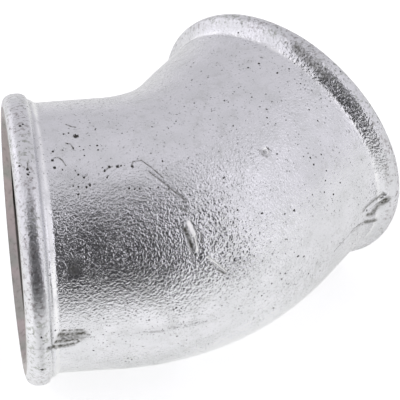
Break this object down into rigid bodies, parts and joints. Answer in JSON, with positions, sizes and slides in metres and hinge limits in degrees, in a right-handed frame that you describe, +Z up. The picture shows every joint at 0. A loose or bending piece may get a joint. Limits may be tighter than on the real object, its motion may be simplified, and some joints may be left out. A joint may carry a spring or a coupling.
{
  "type": "forty-five degree pipe elbow",
  "caption": "Forty-five degree pipe elbow: a short hollow galvanised iron casting, bent by 45 degrees, with a beaded band round each mouth and a threaded socket behind it.",
  "frame": {"origin": "centre of the underside of the bounding box, on the surface that the elbow lies on", "axes": "+X along the chord from one mouth to the other, +Y towards the throat of the bend, +Z up as the elbow lies on its two bands and the belly of its heel"},
  "size_m": [0.1058, 0.08, 0.0726],
  "materials": {
    "galvanised_iron": "hot-dip galvanised, between satin and bright, with fine cast roughness"
  },
  "bodies": {
    "root": {"elbow_casting": "galvanised_iron"}
  },
  "joints": []
}
